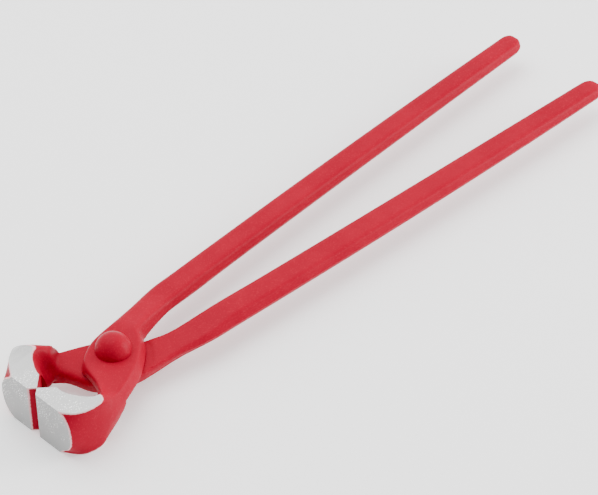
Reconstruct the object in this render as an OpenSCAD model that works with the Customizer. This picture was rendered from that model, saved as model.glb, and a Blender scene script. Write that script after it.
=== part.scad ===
// End cutting nippers: two forged levers that cross on a domed rivet.
// The handles point to +X and the jaws to -X, and the rivet stands along Z.
// The tool is modelled closed, lying on the ground lower faces of its jaws.

/* [Jaws] */
// Distance from the rivet to the cutting edges
jaw_reach = 37; // [34:0.1:42]
// Height of the jaws along the rivet
jaw_h = 22.4; // [18:0.1:28]
// How far the ground front stands ahead of the cutting edges
nose_l = 2.7; // [1.5:0.1:4]
// Half width of the vee in front of the cutting edges
notch_half = 3; // [1.5:0.1:4.5]
// Length of the bevel behind each cutting edge
bevel_l = 11; // [8:0.1:13]
// Angle of that bevel to the line of the tool
bevel_angle = 42; // [30:1:50]
// Gap left between the two cutting edges when the tool is closed
edge_gap = 0.1; // [0.05:0.01:0.3]
// How far the line of the tool passes beside the rivet
side_offset = 1.3; // [0:0.1:2]

/* [Joint] */
// Thickness of one lever where it crosses the other
web_t = 6.6; // [5:0.1:8]
// Gap between the two crossing faces
lap_gap = 0.1; // [0.05:0.01:0.3]
// Radius of the flat crossing face, as a share of the jaw reach
lap_share = 0.40; // [0.4:0.005:0.43]
// How far the wall around that face leans out for each millimetre of depth
lap_lean = 1.1; // [0.8:0.05:1.4]
// How far the slope from that face to the handle runs for each millimetre of depth
slope_lean = 9; // [6:0.5:12]
// Radius of the relief on the jaw side, as a share of the jaw reach
relief_share = 0.605; // [0.59:0.005:0.65]
// How far the wall of the relief leans out for each millimetre of depth
relief_lean = 0.2; // [0.1:0.05:1]
// Height of the slope at the end of the jaw above that wall
foot_slope = 4; // [1:0.1:5]

/* [Rivet] */
// Diameter of the rivet shank
shank_d = 8; // [6:0.1:10]
// Diameter of the domed head
head_d = 14.4; // [13:0.1:16]
// Height of the domed head
head_h = 7; // [3:0.1:7.2]
// Diameter of the closed end under the lower lever
tail_d = 12.4; // [11:0.1:15]
// Height of the closed end under the lower lever
tail_h = 2.6; // [1:0.1:3.6]
// Radial running clearance between the shank and the upper lever
bore_gap = 0.05; // [0.02:0.01:0.09]
// Radial clearance of the shank in the lower lever, which holds it
seat_gap = 0.02; // [0.01:0.01:0.05]
// Clearance under the head, above the upper lever
head_gap = 0.1; // [0.05:0.01:0.3]

/* [Forging] */
// Radius along the edges of a lever around the joint and the jaw
edge_round = 1.4; // [0.5:0.1:2]
// Radius along the outer edge of the jaw on its deep side
foot_round = 3.4; // [2:0.1:4.5]
// Height forged onto each face of the jaw for grinding
grind_stock = 1.3; // [0.8:0.1:1.8]

/* [Handles] */
// Distance from the rivet to the handle tips
handle_reach = 259.3; // [200:0.1:320]
// Width of a handle from the joint to the middle
handle_w = 13.1; // [11:0.1:14.5]
// Thickness of a handle from the joint to the middle
handle_t = 7.4; // [6.4:0.1:8.4]
// Width of a handle near its tip
tip_w = 10.9; // [9:0.1:13]
// Thickness of a handle near its tip
tip_t = 6.2; // [5:0.1:7]
// Length of the rounded end of a handle
tip_l = 6; // [4:0.1:8]
// Where the straight handle begins, measured from the rivet
handle_start = 36; // [32:0.1:42]
// Offset of the handle from the line of the tool where it begins
start_offset = 12.1; // [11:0.1:13]
// Offset of the handle from the line of the tool at the tip
tip_offset = 22.9; // [18:0.1:30]
// Radius along the long edges of a handle
handle_round = 2.1; // [1:0.1:2.4]
// How far the handle bows outwards at its middle
handle_bow = 0.7; // [0:0.1:2]

/* [Hidden] */
paint = [0.80, 0.18, 0.22];
$fn = 64;

// The second circle of the crossing face, which clears the crotch of the handles
crotch_share = 0.392;
crotch_shares = [0.08, -0.08];

// Half height of the jaws as ground, and as forged before that
jaw_half = jaw_h / 2;
forged_half = jaw_half + grind_stock;
front_x = -jaw_reach - nose_l;
overrun = jaw_h;
lap_r = jaw_reach * lap_share;
crotch_r = jaw_reach * crotch_share;
relief_r = jaw_reach * relief_share;

// The rivet stands here once the tool lies on the ground, centred over it
place = [-(front_x + handle_reach) / 2, -side_offset, jaw_half];

// Sections of the head from the handle to the cutting edge.
// Each pair is a place on the upper face, in shares of the jaw reach.
left_shares = [
    [0.60, 0.392], [0.30, 0.334], [0.10, 0.308], [-0.07, 0.265], [-0.20, 0.20],
    [-0.32, 0.105], [-0.38, 0], [-0.41, -0.11], [-0.44, -0.22], [-0.49, -0.32],
    [-0.56, -0.435], [-0.665, -0.475], [-0.75, -0.40], [-0.80, -0.325], [-0.838, -0.25],
    [-0.855, -0.18], [-0.855, -0.09], [-0.845, 0], [-0.835, 0.10]
];
right_shares = [
    [0.655, 0.106], [0.42, 0.024], [0.34, -0.07], [0.24, -0.17], [0.115, -0.275],
    [-0.01, -0.36], [-0.145, -0.425], [-0.28, -0.482], [-0.395, -0.525], [-0.49, -0.555],
    [-0.60, -0.582], [-0.735, -0.59], [-0.87, -0.57], [-0.985, -0.505], [-1.06, -0.395],
    [-1.10, -0.27], [-1.12, -0.145], [-1.13, -0.04], [-1.13, 0.10]
];
// How far the forging line at mid height stands proud on each side
left_proud_shares = [
    0.03, 0.03, 0.03, 0.03, 0.03, 0.03, 0.025, 0.02, 0.02, 0.03,
    0.05, 0.08, 0.10, 0.11, 0.11, 0.10, 0.09, 0.08, 0.08
];
right_proud_shares = [
    0.03, 0.035, 0.035, 0.035, 0.035, 0.035, 0.035, 0.035, 0.03, 0.03,
    0.02, 0.01, 0.015, 0.06, 0.13, 0.15, 0.15, 0.15, 0.15
];
// Level of the upper face, from the web at 0 to the forged jaw at 1
rise_shares = [0, 0, 0, 0, 0, 0, 0, 0, 0.05, 0.22, 0.58, 1, 1, 1, 1, 1, 1, 1, 1];
// Level of the lower face, from the handle's at 0 to the forged jaw at 1
drop_shares = [0, 0, 0, 0, 0, 0, 0.08, 0.35, 0.58, 0.66, 0.78, 0.95, 1, 1, 1, 1, 1, 1, 1];
// How much further out the lower lever's jaw swells at each section
swell_shares = [0, 0, 0, 0, 0, 0, 0, 0, 0, 0.1, 0.8, 1.4, 0.5, 0, 0, 0, 0, 0, 0];
swell_share = 0.055;
// How much of the foot radius each section has
foot_shares = [0, 0, 0, 0, 0, 0, 0, 0.5, 1, 1, 1, 0.4, 0.3, 0.9, 1, 0.2, 0, 0, 0];
// The first sections of the head whose lower face is on the long slope
sloped_rows = 3;
step_share = 3;
// How much of the upper face is still at the handle's level
low_shares = [0.5, 0, 0, 0, 0, 0, 0, 0, 0, 0, 0, 0, 0, 0, 0, 0, 0, 0, 0];
// How far each side of a section follows the line of the tool, not the rivet
left_line_shares = [0.6, 0.2, 0, 0, 0, 0, 0, 0, 0, 0, 0, 0, 0, 0, 0, 0, 0, 0, 0];
right_line_shares = [0.4, 0.4, 0, 0, 0, 0, 0, 0, 0, 0, 0, 0, 0, 0, 0, 0, 0, 0, 0];
outer_line_share = 0.7;
crotch_line_share = 0.9;

// Places of the handle sections, as shares of the straight handle
handle_shares = [1, 0.84, 0.67, 0.5, 0.33, 0.16, 0.06, 0];
span_steps = 3;
side_steps = 3;
corner_steps = 2;
cap_steps = 4;
proud_share = 0.06;
round_share = 0.7;
taper_power = 2.5;
tip_power = 2.5;
tip_level_power = 0.4;

// The inner side of a handle flares towards the joint by this share of its width
flare_share = 0.05;
flare_power = 14;
outer_power = 4;

function mix(a, b, t) = a + (b - a) * t;
function unit(v) = v / norm(v);
function reverse(list) = [for (i = [len(list) - 1 : -1 : 0]) list[i]];

// A smooth curve from b to c, for numbers, points or whole rows of sizes
function curve(a, b, c, d, t) =
    0.5 * (2 * b + (c - a) * t + (2 * a - 5 * b + 4 * c - d) * pow(t, 2)
        + (3 * b - a - 3 * c + d) * pow(t, 3));

// Level of the long slope from the crossing face to the handle
function slope_level(x) = min(lap_gap / 2 - (x - lap_r) / slope_lean, -step_share * lap_gap);

// A section is a row: left x and y, right x and y, how proud the left and
// right sides are, the lower and upper levels, and the radii of the edges
// and of the foot
function handle_section(s, line) =
    let (
        x = mix(handle_start, handle_reach - tip_l, s),
        y = mix(start_offset, tip_offset, s) + handle_bow * 4 * s * (1 - s),
        w = mix(handle_w, tip_w, pow(s, taper_power)),
        t = mix(handle_t, tip_t, pow(s, taper_power)),
        proud = w * proud_share,
        half = w / 2 - proud,
        flare = pow(1 - s, flare_power),
        left = line * mix(outer_line_share, 1, pow(s, outer_power)) + y + half,
        right = line * mix(1, crotch_line_share, flare) + y - half - flare * flare_share * w
    )
    [x, left, x, right, proud, proud, max(-t / 2, slope_level(x)), t / 2, handle_round, 0];

function head_section(i, line) =
    let (
        l = left_shares[i] * jaw_reach,
        bare = right_shares[i] * jaw_reach,
        swell = line < 0 ? swell_share * swell_shares[i] * jaw_reach : 0,
        r = bare + unit(bare - l) * swell
    )
    [
        l[0], l[1] + line * left_line_shares[i], r[0], r[1] + line * right_line_shares[i],
        left_proud_shares[i] * jaw_reach, right_proud_shares[i] * jaw_reach,
        i < sloped_rows ? slope_level((l[0] + r[0]) / 2)
            : mix(-handle_t / 2, -forged_half, drop_shares[i]),
        mix(mix(web_t, handle_t / 2, low_shares[i]), forged_half, rise_shares[i]),
        edge_round, foot_round * foot_shares[i]
    ];

function smooth(rows) =
    let (last = len(rows) - 1)
    concat(
        [for (i = [0 : last - 1], k = [0 : span_steps - 1])
            curve(
                rows[max(i - 1, 0)], rows[i], rows[i + 1], rows[min(i + 2, last)],
                k / span_steps
            )],
        [rows[last]]
    );

// A quarter of the outline of a section, from the proud side at mid height
// to the flat face, as steps out of the side and levels
function quarter(proud, level, round) =
    concat(
        [for (k = [0 : side_steps - 1])
            let (u = k / side_steps)
            [proud * (1 - u * u), (level - sign(level) * round) * u]],
        [for (k = [0 : corner_steps])
            let (a = 90 * k / corner_steps)
            [-round * (1 - cos(a)), level - sign(level) * round * (1 - sin(a))]]
    );

function drop_first(list) = [for (i = [1 : len(list) - 1]) list[i]];

// The points around one section
function ring(row, size = 1) =
    let (
        l = [row[0], row[1]],
        r = [row[2], row[3]],
        middle = (l + r) / 2,
        out = unit(r - l),
        half = norm(r - l) / 2,
        top_round = min(row[8], row[7] * round_share),
        low_round = min(row[8], -row[6] * round_share),
        foot = max(row[9], low_round),
        right_up = [for (p = quarter(row[5], row[7], top_round)) [half + p[0], p[1]]],
        left_up = [for (p = quarter(row[4], row[7], top_round)) [-half - p[0], p[1]]],
        left_down = [for (p = quarter(row[4], row[6], low_round)) [-half - p[0], p[1]]],
        right_down = [for (p = quarter(row[5], row[6], foot)) [half + p[0], p[1]]],
        flat = concat(
            right_up, [[0, row[7]]], reverse(left_up),
            drop_first(left_down), [[0, row[6]]], reverse(drop_first(right_down))
        )
    )
    [for (p = flat) concat(middle + out * p[0] * size, p[1] * pow(size, tip_level_power))];

// The rounded end of the handle, from the tip back to the first section
function tip_rings(row) =
    let (slope = (tip_offset - start_offset) / (handle_reach - tip_l - handle_start))
    [for (k = [cap_steps - 1 : -1 : 1])
        let (
            u = k / cap_steps,
            ahead = row + u * tip_l * [1, slope, 1, slope, 0, 0, 0, 0, 0, 0]
        )
        ring(ahead, pow(1 - pow(u, tip_power), 1 / tip_power))];

module forging(line) {
    rows = concat(
        [for (s = handle_shares) handle_section(s, line)],
        [for (i = [0 : len(left_shares) - 1]) head_section(i, line)]
    );
    rings = concat(tip_rings(rows[0]), [for (row = smooth(rows)) ring(row)]);
    count = len(rings[0]);
    last = len(rings) - 1;
    tip = [handle_reach, line + tip_offset, 0];
    walls = [for (i = [0 : last - 1], k = [0 : count - 1])
        let (n = (k + 1) % count)
        [i * count + k, i * count + n, (i + 1) * count + n, (i + 1) * count + k]];
    polyhedron(
        [for (r = rings) each r, tip],
        concat(
            [for (w = walls) [w[0], w[2], w[1]]],
            [for (w = walls) [w[0], w[3], w[2]]],
            [for (k = [0 : count - 1]) [len(rings) * count, k, (k + 1) % count]],
            [[for (k = [count - 1 : -1 : 0]) last * count + k]]
        )
    );
}

// A long block with one edge on the cutting edge, turned by an angle
module edge_block(line, angle, size) {
    translate([-jaw_reach, line - edge_gap / 2, -overrun])
        rotate([0, 0, angle])
            cube([size[0], size[1], 2 * overrun]);
}

// What grinding takes off the forged jaw
module ground_cuts(line) {
    for (side = [0, 1])
        mirror([0, 0, side])
            translate([front_x - overrun, -2 * overrun, jaw_half])
                cube([jaw_reach + overrun, 4 * overrun, overrun]);
    translate([front_x - overrun, -2 * overrun, -overrun])
        cube([overrun, 4 * overrun, 2 * overrun]);
    translate([-overrun, 0, 0])
        edge_block(line, 0, [2 * overrun - relief_r / 2, overrun]);
    edge_block(line, 90 + atan2(nose_l, notch_half), [overrun, overrun]);
    edge_block(line, -bevel_angle, [bevel_l, bevel_l]);
}

// The flat crossing face, with walls that lean out around it
module lap_cuts() {
    flat = lap_gap / 2;
    depth = forged_half + flat;
    slope_h = grind_stock + foot_slope;
    slope_r = relief_r + (depth - slope_h) * relief_lean + slope_h;
    translate([0, 0, -forged_half])
        cylinder(h = depth, r1 = lap_r + depth * lap_lean, r2 = lap_r);
    translate([crotch_shares[0] * jaw_reach, crotch_shares[1] * jaw_reach, -forged_half])
        cylinder(h = depth, r1 = crotch_r + depth * lap_lean, r2 = crotch_r);
    intersection() {
        union() {
            translate([0, 0, -forged_half])
                cylinder(h = depth, r1 = relief_r + depth * relief_lean, r2 = relief_r);
            translate([0, 0, -forged_half])
                cylinder(h = slope_h, r1 = slope_r, r2 = slope_r - slope_h);
        }
        translate([-2 * overrun, -2 * overrun, -forged_half])
            cube([2 * overrun, 4 * overrun, depth]);
    }
}

module lever(line, bore_r) {
    difference() {
        forging(line);
        ground_cuts(line);
        lap_cuts();
        translate([0, 0, -overrun])
            cylinder(h = 2 * overrun, r = bore_r);
    }
}

module upper_lever() {
    color(paint)
        translate(place)
            lever(side_offset, shank_d / 2 + bore_gap);
}

module lower_lever() {
    color(paint)
        translate(place)
            rotate([180, 0, 0])
                lever(-side_offset, shank_d / 2 + seat_gap);
}

// A cap of a true sphere
module dome(d, h) {
    r = (pow(d / 2, 2) + pow(h, 2)) / (2 * h);
    intersection() {
        translate([0, 0, h - r])
            sphere(r = r);
        cylinder(h = h, d = d + h);
    }
}

module rivet() {
    color(paint)
        translate(place) {
            translate([0, 0, web_t + head_gap])
                dome(head_d, head_h);
            translate([0, 0, -web_t])
                cylinder(h = 2 * web_t + head_gap, d = shank_d);
            translate([0, 0, -web_t])
                mirror([0, 0, 1])
                    dome(tail_d, tail_h);
        }
}

upper_lever();
lower_lever();
rivet();
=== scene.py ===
"""End cutting nippers: the looks of two forged levers and their rivet.

Sizes are in millimetres until a mesh is made, which is in metres.
The rivet frame has its origin on the rivet axis at the forging line.
"""
import math

import bmesh
import bpy
import numpy as np
from mathutils import Matrix, Vector


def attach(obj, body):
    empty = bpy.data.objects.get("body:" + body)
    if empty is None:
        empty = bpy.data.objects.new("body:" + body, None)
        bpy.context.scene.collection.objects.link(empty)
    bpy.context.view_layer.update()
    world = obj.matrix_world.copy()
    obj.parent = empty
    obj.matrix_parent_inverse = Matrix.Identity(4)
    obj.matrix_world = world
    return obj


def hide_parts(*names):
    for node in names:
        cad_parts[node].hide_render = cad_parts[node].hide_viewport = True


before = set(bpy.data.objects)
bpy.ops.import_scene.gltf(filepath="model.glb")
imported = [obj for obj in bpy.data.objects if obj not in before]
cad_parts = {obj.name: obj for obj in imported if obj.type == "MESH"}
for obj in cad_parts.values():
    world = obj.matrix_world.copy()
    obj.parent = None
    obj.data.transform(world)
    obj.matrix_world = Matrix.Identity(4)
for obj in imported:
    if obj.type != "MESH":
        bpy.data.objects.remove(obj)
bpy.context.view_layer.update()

MM = 0.001

# Jaws
JAW_REACH = 37.0
JAW_H = 22.4
NOSE_L = 2.7
NOTCH_HALF = 3.0
BEVEL_L = 11.0
BEVEL_ANGLE = 42.0
EDGE_GAP = 0.1
SIDE_OFFSET = 1.3

# Joint
WEB_T = 6.6
LAP_GAP = 0.1
LAP_R = JAW_REACH * 0.40
LAP_LEAN = 1.1
SLOPE_LEAN = 9.0
CROTCH_R = JAW_REACH * 0.392
CROTCH_AT = (JAW_REACH * 0.08, JAW_REACH * -0.08)
RELIEF_R = JAW_REACH * 0.605
RELIEF_LEAN = 0.2
FOOT_SLOPE = 4.0

# Rivet
SHANK_D = 8.0
HEAD_D = 14.4
HEAD_H = 7.0
TAIL_D = 12.4
TAIL_H = 2.6
BORE_GAP = 0.05
SEAT_GAP = 0.02
HEAD_GAP = 0.1

# Forging
EDGE_ROUND = 1.4
FOOT_ROUND = 3.4
GRIND_STOCK = 1.3

# Handles
HANDLE_REACH = 259.3
HANDLE_W = 13.1
HANDLE_T = 7.4
TIP_W = 10.9
TIP_T = 6.2
TIP_L = 6.0
HANDLE_ROUND = 2.6
HANDLE_START = 36.0
START_OFFSET = 12.1
TIP_OFFSET = 22.9
HANDLE_BOW = 0.7

JAW_HALF = JAW_H / 2
FORGED_HALF = JAW_HALF + GRIND_STOCK
FRONT_X = -JAW_REACH - NOSE_L
OVERRUN = JAW_H
PLACE = Vector((-(FRONT_X + HANDLE_REACH) / 2, -SIDE_OFFSET, JAW_HALF))

# Sections of the head from the handle to the cutting edge, in shares of the jaw reach
LEFT_SHARES = [
    (0.60, 0.392), (0.30, 0.334), (0.10, 0.308), (-0.07, 0.265), (-0.20, 0.20),
    (-0.32, 0.105), (-0.38, 0), (-0.41, -0.11), (-0.44, -0.22), (-0.49, -0.32),
    (-0.56, -0.435), (-0.665, -0.475), (-0.75, -0.40), (-0.80, -0.325), (-0.838, -0.25),
    (-0.855, -0.18), (-0.855, -0.09), (-0.845, 0), (-0.835, 0.10),
]
RIGHT_SHARES = [
    (0.655, 0.106), (0.42, 0.024), (0.34, -0.07), (0.24, -0.17), (0.115, -0.275),
    (-0.01, -0.36), (-0.145, -0.425), (-0.28, -0.482), (-0.395, -0.525), (-0.49, -0.555),
    (-0.60, -0.582), (-0.735, -0.59), (-0.87, -0.57), (-0.985, -0.505), (-1.06, -0.395),
    (-1.10, -0.27), (-1.12, -0.145), (-1.13, -0.04), (-1.13, 0.10),
]
LEFT_PROUD_SHARES = [
    0.03, 0.03, 0.03, 0.03, 0.03, 0.03, 0.025, 0.02, 0.02, 0.03,
    0.05, 0.08, 0.10, 0.11, 0.11, 0.10, 0.09, 0.08, 0.08,
]
RIGHT_PROUD_SHARES = [
    0.03, 0.035, 0.035, 0.035, 0.035, 0.035, 0.035, 0.035, 0.03, 0.03,
    0.02, 0.01, 0.015, 0.06, 0.13, 0.15, 0.15, 0.15, 0.15,
]
RISE_SHARES = [0, 0, 0, 0, 0, 0, 0, 0, 0.05, 0.22, 0.58, 1, 1, 1, 1, 1, 1, 1, 1]
DROP_SHARES = [0, 0, 0, 0, 0, 0, 0.08, 0.35, 0.58, 0.66, 0.78, 0.95, 1, 1, 1, 1, 1, 1, 1]
FOOT_SHARES = [0, 0, 0, 0, 0, 0, 0, 0.5, 1, 1, 1, 0.4, 0.3, 0.9, 1, 0.2, 0, 0, 0]
SWELL_SHARES = [0, 0, 0, 0, 0, 0, 0, 0, 0, 0.1, 0.8, 1.4, 0.5, 0, 0, 0, 0, 0, 0]
SWELL_SHARE = 0.055
LOW_SHARES = [0.5] + 18 * [0]
LEFT_LINE_SHARES = [0.6, 0.2] + 17 * [0]
RIGHT_LINE_SHARES = [0.4, 0.4] + 17 * [0]
OUTER_LINE_SHARE = 0.7
CROTCH_LINE_SHARE = 0.9
FLARE_SHARE = 0.05
FLARE_POWER = 14
OUTER_POWER = 4
HANDLE_SHARES = [1, 0.84, 0.67, 0.5, 0.33, 0.16, 0.06, 0]
PROUD_SHARE = 0.06
ROUND_SHARE = 0.7
TAPER_POWER = 2.5
TIP_POWER = 2.5
TIP_LEVEL_POWER = 0.4
STEP_SHARE = 3
SLOPED_ROWS = 3
EDGE_SHARES = [1, 1, 0.6, 0.2] + 15 * [0]

# How many steps the round and curved forms have
SPAN_STEPS = 10
SIDE_STEPS = 6
CORNER_STEPS = 5
CAP_STEPS = 8
LAP_STEPS = 160
RELIEF_STEPS = 128
BORE_STEPS = 96
RIVET_STEPS = 128
TAIL_STEPS = 14
HEAD_STEPS = 26
BALL_SPLITS = 4

# Mesh work: the smallest radius of a turned form, how near points are joined, and the voxels
AXIS_R = 0.02
MERGE = 0.01
SKIN = 0.5
SOFTEN_SHARE = 0.5
SOFTEN_TIMES = 10

# Edges are sharp above these angles in degrees
LEVER_SHARP = 32
RIVET_SHARP = 40

# The throat: balls of extra smoothing as centre and radius, and the fillet in its corner
HOLLOW_TIMES = 220
HOLLOWS = [(-21.0, -10.5, -5.5, 12.0), (-17.0, -8.0, -0.5, 6.0), (-15.0, -2.5, -0.5, 6.0)]
FILLET_AT = (-23.0, -15.0, 3.3)
FILLET_SIZE = (4.6, 4.2, 3.4)

# Colours of the paint and the steel
PAINT_RED = (0.33, 0.0012, 0.018, 1)
PAINT_GRAIN = (0.50, 0.012, 0.035, 1)
BARE_EDGE = (0.80, 0.46, 0.48, 1)
STEEL_DARK = (0.40, 0.40, 0.397, 1)
STEEL_PALE = (0.46, 0.46, 0.456, 1)
# Painted shade: the jaw fronts are mixed towards this darker steel
STEEL_SHADED = (0.2, 0.2, 0.2, 1)
STEEL_SPECK = (0.95, 0.95, 0.94, 1)

PAINT_IOR = 1.5
PAINT_SPECULAR = 0.04
STEEL_METALLIC = 0.75

# The pale line where the paint ends, in metres: its width, how ragged it is, and a shift
EDGE_WIDTH = 0.0007
EDGE_RAGGED = 0.0006
EDGE_SHIFT = 0.00022

# Scale of the grinding lines' noise along each axis
LINES_ALONG_X = (60.0, 5200.0, 60.0)
LINES_ACROSS = (60.0, 60.0, 5200.0)

# The front's specks thin out between these two places along X, in metres
SPECKS_FROM = -0.144
SPECKS_TO = -0.136
SPECKS_LEFT = 0.25


# Shapes of the forged levers
def mix(a, b, t):
    """The value between two, at a share of the way."""
    return a + (b - a) * t


def slope_level(x):
    """Level of the long slope from the crossing face to the handle."""
    return min(LAP_GAP / 2 - (x - LAP_R) / SLOPE_LEAN, -STEP_SHARE * LAP_GAP)


def handle_section(s, line):
    """A section of the handle at its share of the way to the tip.

    The entries are left x and y, right x and y, how proud the left and right sides
    stand, low and high level, the edges' radius and the foot's radius.
    """
    x = mix(HANDLE_START, HANDLE_REACH - TIP_L, s)
    y = mix(START_OFFSET, TIP_OFFSET, s) + HANDLE_BOW * 4 * s * (1 - s)
    w = mix(HANDLE_W, TIP_W, s ** TAPER_POWER)
    t = mix(HANDLE_T, TIP_T, s ** TAPER_POWER)
    proud = w * PROUD_SHARE
    half = w / 2 - proud
    flare = (1 - s) ** FLARE_POWER
    left = line * mix(OUTER_LINE_SHARE, 1, s ** OUTER_POWER) + y + half
    right = line * mix(1, CROTCH_LINE_SHARE, flare) + y - half - flare * FLARE_SHARE * w
    low = max(-t / 2, slope_level(x))
    return np.array([x, left, x, right, proud, proud, low, t / 2, HANDLE_ROUND, 0.0])


def head_section(i, line):
    """A section of the head, with the same entries as the handle's."""
    lx, ly = (v * JAW_REACH for v in LEFT_SHARES[i])
    rx, ry = (v * JAW_REACH for v in RIGHT_SHARES[i])
    if line < 0:
        out = np.array([rx - lx, ry - ly])
        out *= SWELL_SHARE * SWELL_SHARES[i] * JAW_REACH / np.linalg.norm(out)
        rx, ry = rx + out[0], ry + out[1]
    low = mix(-HANDLE_T / 2, -FORGED_HALF, DROP_SHARES[i])
    if i < SLOPED_ROWS:
        low = slope_level((lx + rx) / 2)
    high = mix(mix(WEB_T, HANDLE_T / 2, LOW_SHARES[i]), FORGED_HALF, RISE_SHARES[i])
    return np.array([
        lx, ly + line * LEFT_LINE_SHARES[i], rx, ry + line * RIGHT_LINE_SHARES[i],
        LEFT_PROUD_SHARES[i] * JAW_REACH, RIGHT_PROUD_SHARES[i] * JAW_REACH,
        low, high, mix(EDGE_ROUND, HANDLE_ROUND, EDGE_SHARES[i]), FOOT_ROUND * FOOT_SHARES[i],
    ])


def smooth_rows(rows):
    """The rows joined by a smooth curve through every one."""
    out = []
    last = len(rows) - 1
    for i in range(last):
        a, b = rows[max(i - 1, 0)], rows[i]
        c, d = rows[i + 1], rows[min(i + 2, last)]
        for k in range(SPAN_STEPS):
            t = k / SPAN_STEPS
            out.append(0.5 * (
                2 * b + (c - a) * t + (2 * a - 5 * b + 4 * c - d) * t ** 2
                + (3 * b - a - 3 * c + d) * t ** 3
            ))
    out.append(rows[last])
    return out


def quarter(proud, level, radius):
    """A quarter of a section's outline, from mid height to the flat face."""
    sign = 1 if level > 0 else -1
    out = []
    for k in range(SIDE_STEPS):
        u = k / SIDE_STEPS
        out.append((proud * (1 - u * u), (level - sign * radius) * u))
    for k in range(CORNER_STEPS + 1):
        a = math.pi / 2 * k / CORNER_STEPS
        out.append((-radius * (1 - math.cos(a)), level - sign * radius * (1 - math.sin(a))))
    return out


def ring(row, size=1.0):
    """The points round one section, drawn in towards the tip when the size is under 1."""
    left, right = row[0:2], row[2:4]
    left_proud, right_proud, low, high, edge_r, foot_r = row[4:]
    middle = (left + right) / 2
    half = np.linalg.norm(right - left) / 2
    out = (right - left) / (2 * half)
    high_r = min(edge_r, high * ROUND_SHARE)
    low_r = min(edge_r, -low * ROUND_SHARE)
    right_up = [(half + p, z) for p, z in quarter(right_proud, high, high_r)]
    left_up = [(-half - p, z) for p, z in quarter(left_proud, high, high_r)]
    left_down = [(-half - p, z) for p, z in quarter(left_proud, low, low_r)]
    right_down = [(half + p, z) for p, z in quarter(right_proud, low, max(foot_r, low_r))]
    flat = right_up + left_up[::-1] + left_down[1:] + right_down[:0:-1]
    level = size ** TIP_LEVEL_POWER
    return [(*(middle + out * p * size), z * level) for p, z in flat]


def mesh_object(name, verts, faces, materials=()):
    mesh = bpy.data.meshes.new(name)
    mesh.from_pydata([tuple(v) for v in verts], [], faces)
    obj = bpy.data.objects.new(name, mesh)
    bpy.context.scene.collection.objects.link(obj)
    for material in materials:
        mesh.materials.append(material)
    return obj


def point_outwards(obj):
    """Joins points that lie together and turns every face outwards."""
    bm = bmesh.new()
    bm.from_mesh(obj.data)
    bmesh.ops.remove_doubles(bm, verts=bm.verts, dist=MERGE * MM)
    bmesh.ops.recalc_face_normals(bm, faces=bm.faces)
    bm.to_mesh(obj.data)
    bm.free()


def forging(name, line):
    """One lever as forged, as a closed shell in the rivet frame."""
    rows = [handle_section(s, line) for s in HANDLE_SHARES]
    rows += [head_section(i, line) for i in range(len(LEFT_SHARES))]
    slope = (TIP_OFFSET - START_OFFSET) / (HANDLE_REACH - TIP_L - HANDLE_START)
    along = np.array([1, slope, 1, slope, 0, 0, 0, 0, 0, 0])
    rings = []
    for k in range(CAP_STEPS - 1, 0, -1):
        u = k / CAP_STEPS
        rings.append(ring(rows[0] + along * u * TIP_L, (1 - u ** TIP_POWER) ** (1 / TIP_POWER)))
    rings += [ring(row) for row in smooth_rows(rows)]
    count = len(rings[0])
    verts = [p for r in rings for p in r]
    verts.append((HANDLE_REACH, line + TIP_OFFSET, 0))
    faces = []
    for i in range(len(rings) - 1):
        for k in range(count):
            n = (k + 1) % count
            faces.append((i * count + k, i * count + n, (i + 1) * count + n, (i + 1) * count + k))
    tip = len(rings) * count
    faces += [(tip, (k + 1) % count, k) for k in range(count)]
    last = (len(rings) - 1) * count
    faces.append(tuple(last + k for k in range(count)))
    obj = mesh_object(name, [tuple(c * MM for c in v) for v in verts], faces)
    point_outwards(obj)
    return obj


# Cutters and what is made with them
def block(name, corner, size, turn=0.0, material=None):
    """A box with one corner at a point, turned about it by an angle in degrees."""
    spin = Matrix.Translation(Vector(corner)) @ Matrix.Rotation(math.radians(turn), 4, "Z")
    verts = []
    for x in (0, size[0]):
        for y in (0, size[1]):
            for z in (0, size[2]):
                verts.append(spin @ Vector((x, y, z)) * MM)
    faces = [(0, 1, 3, 2), (4, 6, 7, 5), (0, 4, 5, 1), (2, 3, 7, 6), (0, 2, 6, 4), (1, 5, 7, 3)]
    obj = mesh_object(name, verts, faces, [material] if material else [])
    point_outwards(obj)
    return obj


def turned(name, profile, steps, material=None):
    """A closed solid of revolution about Z from radius and height pairs."""
    verts, faces = [], []
    for k in range(steps):
        a = 2 * math.pi * k / steps
        for r, z in profile:
            verts.append((r * math.cos(a) * MM, r * math.sin(a) * MM, z * MM))
    count = len(profile)
    for k in range(steps):
        n = (k + 1) % steps
        for i in range(count - 1):
            faces.append((k * count + i, n * count + i, n * count + i + 1, k * count + i + 1))
    faces.append(tuple(k * count for k in range(steps)))
    faces.append(tuple(k * count + count - 1 for k in range(steps)))
    obj = mesh_object(name, verts, faces, [material] if material else [])
    point_outwards(obj)
    return obj


def bake_modifiers(obj):
    """Makes the object's modifiers part of its mesh."""
    mesh = bpy.data.meshes.new_from_object(
        obj.evaluated_get(bpy.context.evaluated_depsgraph_get())
    )
    obj.modifiers.clear()
    old = obj.data
    obj.data = mesh
    bpy.data.meshes.remove(old)


def cut(obj, cutters):
    """Takes each cutter from the object, with the cutter's material on the cut."""
    for cutter in cutters:
        mod = obj.modifiers.new("cut", "BOOLEAN")
        mod.operation = "DIFFERENCE"
        mod.solver = "EXACT"
        mod.material_mode = "TRANSFER"
        mod.object = cutter
    bake_modifiers(obj)
    for cutter in cutters:
        bpy.data.objects.remove(cutter)


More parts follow.
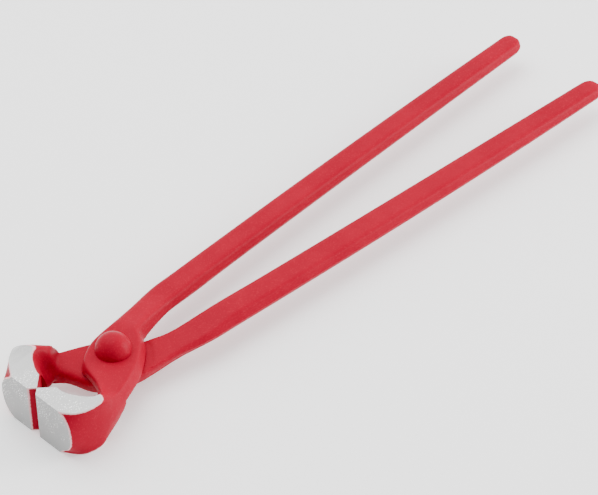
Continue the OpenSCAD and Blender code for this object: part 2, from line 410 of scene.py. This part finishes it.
def lap_cutters():
    """The crossing face, the crotch and the relief that clears the other lever."""
    flat = LAP_GAP / 2
    depth = FORGED_HALF + flat
    slope_h = GRIND_STOCK + FOOT_SLOPE
    slope_r = RELIEF_R + (depth - slope_h) * RELIEF_LEAN + slope_h
    lap = turned("lap", [(LAP_R + depth * LAP_LEAN, -FORGED_HALF), (LAP_R, flat)], LAP_STEPS)
    crotch = turned("crotch", [(CROTCH_R + depth * LAP_LEAN, -FORGED_HALF), (CROTCH_R, flat)],
                    LAP_STEPS)
    crotch.data.transform(Matrix.Translation((CROTCH_AT[0] * MM, CROTCH_AT[1] * MM, 0)))
    relief = turned(
        "relief",
        [
            (slope_r, -FORGED_HALF),
            (slope_r - slope_h, -FORGED_HALF + slope_h),
            (RELIEF_R, flat),
        ],
        RELIEF_STEPS,
    )
    half = block(
        "jaw side", (0, -2 * OVERRUN, -2 * FORGED_HALF),
        (2 * OVERRUN, 4 * OVERRUN, 4 * FORGED_HALF),
    )
    cut(relief, [half])
    return [lap, crotch, relief]


def ground_cutters(line, paint, steel_flat, steel_front):
    """The ground faces, the vee and the bevel of one jaw."""
    edge = (-JAW_REACH, line - EDGE_GAP / 2, -OVERRUN)
    wide = 4 * OVERRUN
    return [
        block("top", (FRONT_X - OVERRUN, -2 * OVERRUN, JAW_HALF),
              (JAW_REACH + OVERRUN, wide, OVERRUN), 0, steel_flat),
        block("low", (FRONT_X - OVERRUN, -2 * OVERRUN, -JAW_HALF - OVERRUN),
              (JAW_REACH + OVERRUN, wide, OVERRUN), 0, steel_flat),
        block("front", (FRONT_X - OVERRUN, -2 * OVERRUN, -OVERRUN),
              (OVERRUN, wide, 2 * OVERRUN), 0, steel_front),
        block("beyond", (edge[0] - OVERRUN, edge[1], edge[2]),
              (2 * OVERRUN - RELIEF_R / 2, OVERRUN, 2 * OVERRUN), 0, paint),
        block("vee", edge, (OVERRUN, OVERRUN, 2 * OVERRUN),
              90 + math.degrees(math.atan2(NOSE_L, NOTCH_HALF)), paint),
        block("bevel", edge, (BEVEL_L, BEVEL_L, 2 * OVERRUN), -BEVEL_ANGLE, paint),
    ]


def fill_corner(obj):
    """Adds the forged fillet in the corner between the neck and the jaw."""
    bm = bmesh.new()
    bm.from_mesh(obj.data)
    place = Matrix.Translation(Vector(FILLET_AT) * MM) @ Matrix.Diagonal((*FILLET_SIZE, 1))
    bmesh.ops.create_icosphere(bm, subdivisions=BALL_SPLITS, radius=MM, matrix=place)
    bm.to_mesh(obj.data)
    bm.free()


def soften_hollow(obj):
    """Extra smoothing in the hollow between the jaw and its neck, faded out around it."""
    group = obj.vertex_groups.new(name="hollow")
    for v in obj.data.vertices:
        at = v.co / MM
        weight = max(2 * (1 - (at - Vector(spot[:3])).length / spot[3]) for spot in HOLLOWS)
        if weight > 0:
            group.add([v.index], min(weight, 1), "REPLACE")
    soften = obj.modifiers.new("hollow", "SMOOTH")
    soften.factor = SOFTEN_SHARE
    soften.iterations = HOLLOW_TIMES
    soften.vertex_group = "hollow"
    bake_modifiers(obj)
    obj.vertex_groups.clear()


def finish_mesh(obj, sharp_angle):
    """Smooth shading with sharp edges above an angle."""
    mesh = obj.data
    for polygon in mesh.polygons:
        polygon.use_smooth = True
    mesh.set_sharp_from_angle(angle=math.radians(sharp_angle))


def lever(name, line, bore_r, turn, paint, steel_flat, steel_front):
    """One lever, forged, softened and ground, in its place in the frame."""
    obj = forging(name, line)
    cut(obj, lap_cutters())
    fill_corner(obj)
    skin = obj.modifiers.new("skin", "REMESH")
    skin.mode = "VOXEL"
    skin.voxel_size = SKIN * MM
    soften = obj.modifiers.new("soften", "SMOOTH")
    soften.factor = SOFTEN_SHARE
    soften.iterations = SOFTEN_TIMES
    bake_modifiers(obj)
    soften_hollow(obj)
    obj.data.materials.clear()
    obj.data.materials.append(paint)
    bore = turned("bore", [(bore_r, -OVERRUN), (bore_r, OVERRUN)], BORE_STEPS, paint)
    cut(obj, ground_cutters(line, paint, steel_flat, steel_front) + [bore])
    obj.data.transform(Matrix.Translation(PLACE * MM) @ Matrix.Rotation(turn, 4, "X"))
    finish_mesh(obj, LEVER_SHARP)
    return obj


# Shader nodes. Noise scales are per metre, and bump distances are in metres.
def group(name, inputs, outputs):
    """A new shader node group with its sockets, and its own input and output nodes."""
    tree = bpy.data.node_groups.new(name, "ShaderNodeTree")
    for label, kind, value in inputs:
        socket = tree.interface.new_socket(label, in_out="INPUT", socket_type=kind)
        if value is not None:
            socket.default_value = value
    for label, kind in outputs:
        tree.interface.new_socket(label, in_out="OUTPUT", socket_type=kind)
    return tree, tree.nodes.new("NodeGroupInput"), tree.nodes.new("NodeGroupOutput")


def feed(tree, socket, value):
    """Links a socket from another one, or sets its value."""
    if isinstance(value, bpy.types.NodeSocket):
        tree.links.new(value, socket)
    else:
        socket.default_value = value


def node(tree, kind, inputs, **settings):
    """A node with its settings, and its inputs fed by name or number."""
    out = tree.nodes.new(kind)
    for key, value in settings.items():
        setattr(out, key, value)
    for key, value in inputs.items():
        feed(tree, out.inputs[key], value)
    return out


def math_node(tree, operation, *values, clamp=False):
    inputs = dict(enumerate(values))
    return node(tree, "ShaderNodeMath", inputs, operation=operation, use_clamp=clamp).outputs[0]


def noise(tree, vector, scale, detail=3.0, rough=0.5):
    out = node(tree, "ShaderNodeTexNoise",
               {"Vector": vector, "Scale": scale, "Detail": detail, "Roughness": rough})
    return out.outputs["Fac"]


def ramp(tree, value, low, high, out_low=0.0, out_high=1.0):
    """A smooth step from one value to another."""
    out = node(tree, "ShaderNodeMapRange", {
        "Value": value, "From Min": low, "From Max": high,
        "To Min": out_low, "To Max": out_high,
    }, interpolation_type="SMOOTHSTEP")
    return out.outputs["Result"]


def mix_colour(tree, share, a, b):
    """A colour between two, by the mix node's own numbers of its colour sockets."""
    return node(tree, "ShaderNodeMix", {0: share, 6: a, 7: b}, data_type="RGBA").outputs[2]


def bump(tree, height, strength, distance, normal=None):
    inputs = {"Height": height, "Strength": strength, "Distance": distance}
    if normal is not None:
        inputs["Normal"] = normal
    return node(tree, "ShaderNodeBump", inputs).outputs["Normal"]


FINISH_OUTPUTS = [
    ("Colour", "NodeSocketColor"),
    ("Roughness", "NodeSocketFloat"),
    ("Normal", "NodeSocketVector"),
]


def build_forged_paint():
    """Gloss paint over a forged skin: soft waves, orange peel and fine specks."""
    tree, gin, gout = group(
        "Forged paint",
        [("Position", "NodeSocketVector", None), ("Colour", "NodeSocketColor", PAINT_RED),
         ("Gloss roughness", "NodeSocketFloat", 0.3), ("Waves", "NodeSocketFloat", 0.5),
         ("Peel", "NodeSocketFloat", 0.3)],
        FINISH_OUTPUTS,
    )
    at = gin.outputs["Position"]
    waves = noise(tree, at, 110.0, 3.0, 0.55)
    peel = noise(tree, at, 1300.0, 2.0, 0.5)
    specks = noise(tree, at, 3600.0, 1.0, 0.4)
    cloud = noise(tree, at, 45.0, 4.0, 0.6)
    tint = ramp(tree, cloud, 0.3, 0.7)
    deep = node(tree, "ShaderNodeHueSaturation",
                {"Color": gin.outputs["Colour"], "Value": 0.88, "Saturation": 1.03})
    colour = mix_colour(tree, tint, deep.outputs["Color"], gin.outputs["Colour"])
    grain = math_node(tree, "MULTIPLY", ramp(tree, noise(tree, at, 1700.0, 1.0), 0.56, 0.72), 0.35)
    colour = mix_colour(tree, grain, colour, PAINT_GRAIN)
    dust = ramp(tree, specks, 0.66, 0.78)
    rough = math_node(tree, "ADD", gin.outputs["Gloss roughness"],
                      math_node(tree, "MULTIPLY", ramp(tree, cloud, 0.35, 0.75), 0.10))
    rough = math_node(tree, "ADD", rough, math_node(tree, "MULTIPLY", dust, 0.12), clamp=True)
    soft = bump(tree, waves, gin.outputs["Waves"], 0.0010)
    fine = bump(tree, peel, gin.outputs["Peel"], 0.00008, soft)
    tree.links.new(colour, gout.inputs["Colour"])
    tree.links.new(rough, gout.inputs["Roughness"])
    tree.links.new(fine, gout.inputs["Normal"])
    return tree


def build_ground_steel():
    """Bare ground steel: fine lines along one way, soft blotches, and a share of painted shade
    that darkens it.
    """
    tree, gin, gout = group(
        "Ground steel",
        [("Position", "NodeSocketVector", None), ("Line scale", "NodeSocketVector", LINES_ALONG_X),
         ("Roughness", "NodeSocketFloat", 0.35), ("Painted shade", "NodeSocketFloat", 0.0)],
        FINISH_OUTPUTS,
    )
    at = gin.outputs["Position"]
    stretched = node(tree, "ShaderNodeVectorMath", {0: at, 1: gin.outputs["Line scale"]},
                     operation="MULTIPLY")
    lines = noise(tree, stretched.outputs[0], 1.0, 3.0, 0.6)
    grit = noise(tree, at, 2400.0, 2.0, 0.6)
    cloud = noise(tree, at, 110.0, 3.0, 0.6)
    tone = math_node(tree, "ADD", math_node(tree, "MULTIPLY", lines, 0.5),
                     math_node(tree, "MULTIPLY", grit, 0.5))
    colour = mix_colour(tree, ramp(tree, tone, 0.38, 0.62), STEEL_DARK, STEEL_PALE)
    # Painted shade: a share of darker steel for faces that sit in shade
    colour = mix_colour(tree, gin.outputs["Painted shade"], colour, STEEL_SHADED)
    specks = ramp(tree, noise(tree, at, 1700.0, 1.0), 0.60, 0.68)
    specks = math_node(tree, "MULTIPLY", specks, ramp(tree, cloud, 0.42, 0.60))
    along = node(tree, "ShaderNodeSeparateXYZ", {"Vector": at}).outputs["X"]
    by_front = ramp(tree, along, SPECKS_FROM, SPECKS_TO, 1.0, SPECKS_LEFT)
    specks = math_node(tree, "MULTIPLY", specks, by_front)
    colour = mix_colour(tree, specks, colour, STEEL_SPECK)
    uneven = math_node(tree, "MULTIPLY", math_node(tree, "SUBTRACT", tone, 0.5), 0.25)
    rough = math_node(tree, "ADD", gin.outputs["Roughness"], uneven, clamp=True)
    normal = bump(tree, lines, 0.22, 0.00006)
    normal = bump(tree, grit, 0.12, 0.00005, normal)
    tree.links.new(colour, gout.inputs["Colour"])
    tree.links.new(rough, gout.inputs["Roughness"])
    tree.links.new(normal, gout.inputs["Normal"])
    return tree


def build_ground_edge():
    """A broken thin line where the paint ends at a ground face."""
    tree, gin, gout = group(
        "Ground edge",
        [("Position", "NodeSocketVector", None),
         ("Centre height", "NodeSocketFloat", PLACE.z * MM),
         ("Half height", "NodeSocketFloat", JAW_HALF * MM),
         ("Front", "NodeSocketFloat", (FRONT_X + PLACE.x) * MM),
         ("Width", "NodeSocketFloat", EDGE_WIDTH)],
        [("Mask", "NodeSocketFloat")],
    )
    split = node(tree, "ShaderNodeSeparateXYZ", {"Vector": gin.outputs["Position"]})
    away = math_node(tree, "SUBTRACT", split.outputs["Z"], gin.outputs["Centre height"])
    away = math_node(tree, "ABSOLUTE", away)
    away = math_node(tree, "SUBTRACT", gin.outputs["Half height"], away)
    front = math_node(tree, "SUBTRACT", split.outputs["X"], gin.outputs["Front"])
    near = math_node(tree, "MINIMUM", away, front)
    ragged = noise(tree, gin.outputs["Position"], 900.0, 2.0)
    ragged = math_node(tree, "MULTIPLY", ragged, EDGE_RAGGED)
    near = math_node(tree, "ADD", near, math_node(tree, "SUBTRACT", ragged, EDGE_SHIFT))
    share = math_node(tree, "DIVIDE", near, gin.outputs["Width"])
    mask = ramp(tree, share, 0.6, 1.1, 1.0, 0.0)
    tree.links.new(mask, gout.inputs["Mask"])
    return tree


def principled(name):
    """A new material, its tree, its shader and the object's own coordinates."""
    material = bpy.data.materials.new(name)
    material.use_nodes = True
    tree = material.node_tree
    shader = next(n for n in tree.nodes if n.type == "BSDF_PRINCIPLED")
    where = tree.nodes.new("ShaderNodeTexCoord").outputs["Object"]
    return material, tree, shader, where


def use(tree, kind, inputs):
    return node(tree, "ShaderNodeGroup", inputs, node_tree=kind)


forged_paint = build_forged_paint()
ground_steel = build_ground_steel()
ground_edge = build_ground_edge()


def paint_material(name, gloss, waves, peel, edge):
    material, tree, shader, where = principled(name)
    coat = use(tree, forged_paint, {
        "Position": where, "Colour": PAINT_RED, "Gloss roughness": gloss,
        "Waves": waves, "Peel": peel,
    })
    colour, rough = coat.outputs["Colour"], coat.outputs["Roughness"]
    if edge:
        line = use(tree, ground_edge, {"Position": where})
        colour = mix_colour(tree, line.outputs["Mask"], colour, BARE_EDGE)
    tree.links.new(colour, shader.inputs["Base Color"])
    tree.links.new(rough, shader.inputs["Roughness"])
    tree.links.new(coat.outputs["Normal"], shader.inputs["Normal"])
    shader.inputs["IOR"].default_value = PAINT_IOR
    shader.inputs["Specular IOR Level"].default_value = PAINT_SPECULAR
    return material


def steel_material(name, lines, roughness, painted_shade):
    material, tree, shader, where = principled(name)
    face = use(tree, ground_steel, {
        "Position": where, "Line scale": lines, "Roughness": roughness, "Painted shade": painted_shade})
    tree.links.new(face.outputs["Colour"], shader.inputs["Base Color"])
    tree.links.new(face.outputs["Roughness"], shader.inputs["Roughness"])
    tree.links.new(face.outputs["Normal"], shader.inputs["Normal"])
    shader.inputs["Metallic"].default_value = STEEL_METALLIC
    return material


lever_paint = paint_material("Red lever paint", 0.34, 0.35, 0.25, True)
rivet_paint = paint_material("Red rivet paint", 0.30, 0.25, 0.80, False)
flat_steel = steel_material("Ground jaw faces", LINES_ALONG_X, 0.42, 0.0)
# The fronts are a darker, shaded copy of the ground steel: painted shade
front_steel = steel_material("Ground jaw fronts", LINES_ACROSS, 0.42, 0.42)


# The three pieces
upper = lever("upper_forging", SIDE_OFFSET, SHANK_D / 2 + BORE_GAP, 0.0,
              lever_paint, flat_steel, front_steel)
lower = lever("lower_forging", -SIDE_OFFSET, SHANK_D / 2 + SEAT_GAP, math.pi,
              lever_paint, flat_steel, front_steel)


def dome_profile(d, h, steps):
    """Radius and height pairs of a spherical cap, from its rim to its crown."""
    r = ((d / 2) ** 2 + h ** 2) / (2 * h)
    rim = math.atan2(d / 2, r - h)
    out = []
    for k in range(steps):
        a = rim * (1 - k / steps)
        out.append((r * math.sin(a), r * math.cos(a) - (r - h)))
    return out


def rivet():
    head_z = WEB_T + HEAD_GAP
    profile = [(AXIS_R, -WEB_T - TAIL_H)]
    tail = dome_profile(TAIL_D, TAIL_H, TAIL_STEPS)
    profile += [(r, -WEB_T - z) for r, z in tail[::-1]]
    profile += [(SHANK_D / 2, -WEB_T), (SHANK_D / 2, head_z)]
    profile += [(r, head_z + z) for r, z in dome_profile(HEAD_D, HEAD_H, HEAD_STEPS)]
    profile.append((AXIS_R, head_z + HEAD_H))
    obj = turned("domed_rivet", profile, RIVET_STEPS, rivet_paint)
    obj.data.transform(Matrix.Translation(PLACE * MM))
    finish_mesh(obj, RIVET_SHARP)
    return obj


pin = rivet()

for piece, body, cad, record_slot in (
    (upper, "upper_lever", "upper_lever", "lever_paint"),
    (lower, "lower_lever", "lower_lever", "lever_paint"),
    (pin, "lower_lever", "rivet", "rivet_paint"),
):
    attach(piece, body)
    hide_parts(cad)


# The studio
FLOOR_HALF = 4.0
FLOOR_WHITE = (0.92, 0.92, 0.92, 1)
FLOOR_ROUGHNESS = 0.85
FLOOR_GLOW = 0.4


def floor():
    material, _, shader, _ = principled("Pale floor")
    shader.inputs["Base Color"].default_value = FLOOR_WHITE
    shader.inputs["Roughness"].default_value = FLOOR_ROUGHNESS
    shader.inputs["Emission Color"].default_value = (1, 1, 1, 1)
    shader.inputs["Emission Strength"].default_value = FLOOR_GLOW
    half = FLOOR_HALF
    corners = [(-half, -half, 0), (half, -half, 0), (half, half, 0), (-half, half, 0)]
    mesh_object("floor", corners, [(0, 1, 2, 3)], [material])


def area_light(name, place, target, size, power):
    """A round soft light that points at a target."""
    data = bpy.data.lights.new(name, "AREA")
    data.shape = "DISK"
    data.size = size
    data.energy = power
    obj = bpy.data.objects.new(name, data)
    obj.location = place
    aim = Vector(target) - Vector(place)
    obj.rotation_euler = aim.to_track_quat("-Z", "Y").to_euler()
    bpy.context.scene.collection.objects.link(obj)


# The room's brightness, and the viewer's side, where it is darker near the ground
ROOM_STRENGTH = 1.35
DARK_SIDE = (-0.70, -0.714, 0.0)

# Lights: name, place, target and size in metres, and power in watts
LIGHTS = [
    ("Key", (-0.08, 0.32, 0.85), (-0.1, 0, 0), 0.9, 7.2),
    ("Fill", (0.8, -0.65, 0.32), (0, 0, 0), 0.7, 16.0),
]


def studio():
    """The floor, a bright room round the tool, and the lights."""
    floor()
    world = bpy.data.worlds.new("Studio")
    world.use_nodes = True
    tree = world.node_tree
    back = tree.nodes["Background"]
    back.inputs["Strength"].default_value = ROOM_STRENGTH
    where = tree.nodes.new("ShaderNodeTexCoord").outputs["Generated"]
    height = node(tree, "ShaderNodeSeparateXYZ", {"Vector": where}).outputs["Z"]
    front = node(tree, "ShaderNodeVectorMath", {0: where, 1: DARK_SIDE},
                 operation="DOT_PRODUCT").outputs["Value"]
    # Brighter on the far side, and darker low down on the viewer's side
    sky = ramp(tree, front, -0.8, 0.3, 1.75, 0.8)
    shade = math_node(tree, "MULTIPLY", ramp(tree, front, 0.1, 0.9),
                      ramp(tree, height, 0.2, 0.8, 0.8, 0.0))
    light = math_node(tree, "MULTIPLY", sky, math_node(tree, "SUBTRACT", 1.0, shade))
    colour = mix_colour(tree, light, (0, 0, 0, 1), (1, 1, 1, 1))
    colour.node.clamp_factor = False
    tree.links.new(colour, back.inputs["Color"])
    bpy.context.scene.world = world
    for light_row in LIGHTS:
        area_light(*light_row)


# The photograph's view: angles in degrees, lengths in the picture's pixels, and the
# millimetres that one pixel stands for
VIEW_AZIMUTH = -44.4447
VIEW_ELEVATION = 41.4462
VIEW_ROLL = -0.9168
FOCAL_PIXELS = 2700.0
FRAME_W, FRAME_H = 598, 495
PIXEL_MM = 0.3836
AIM_PIXEL = (114.405, 358.518)
AIM_POINT = (-3.4, -3.5)
CLIP_NEAR = 0.01
CLIP_FAR = 20


def camera():
    """The view of the photograph, through a long lens."""
    a, e, r = (math.radians(v) for v in (VIEW_AZIMUTH, VIEW_ELEVATION, VIEW_ROLL))
    back = Vector((math.sin(a) * math.cos(e), -math.cos(a) * math.cos(e), math.sin(e)))
    right = Vector((math.cos(a), math.sin(a), 0))
    up = back.cross(right)
    across = math.cos(r) * right + math.sin(r) * up
    upward = -math.sin(r) * right + math.cos(r) * up
    dx = AIM_PIXEL[0] - FRAME_W / 2
    dy = FRAME_H / 2 - AIM_PIXEL[1]
    spot = back * FOCAL_PIXELS - across * dx - upward * dy
    spot -= Vector((AIM_POINT[0], AIM_POINT[1], 0))
    data = bpy.data.cameras.new("Studio camera")
    data.lens = data.sensor_width * FOCAL_PIXELS / FRAME_W
    data.clip_start = CLIP_NEAR
    data.clip_end = CLIP_FAR
    obj = bpy.data.objects.new("Studio camera", data)
    bpy.context.scene.collection.objects.link(obj)
    turn = Matrix((across, upward, back)).transposed().to_4x4()
    turn.translation = (spot * PIXEL_MM + PLACE) * MM
    obj.matrix_world = turn
    bpy.context.scene.camera = obj


studio()
camera()
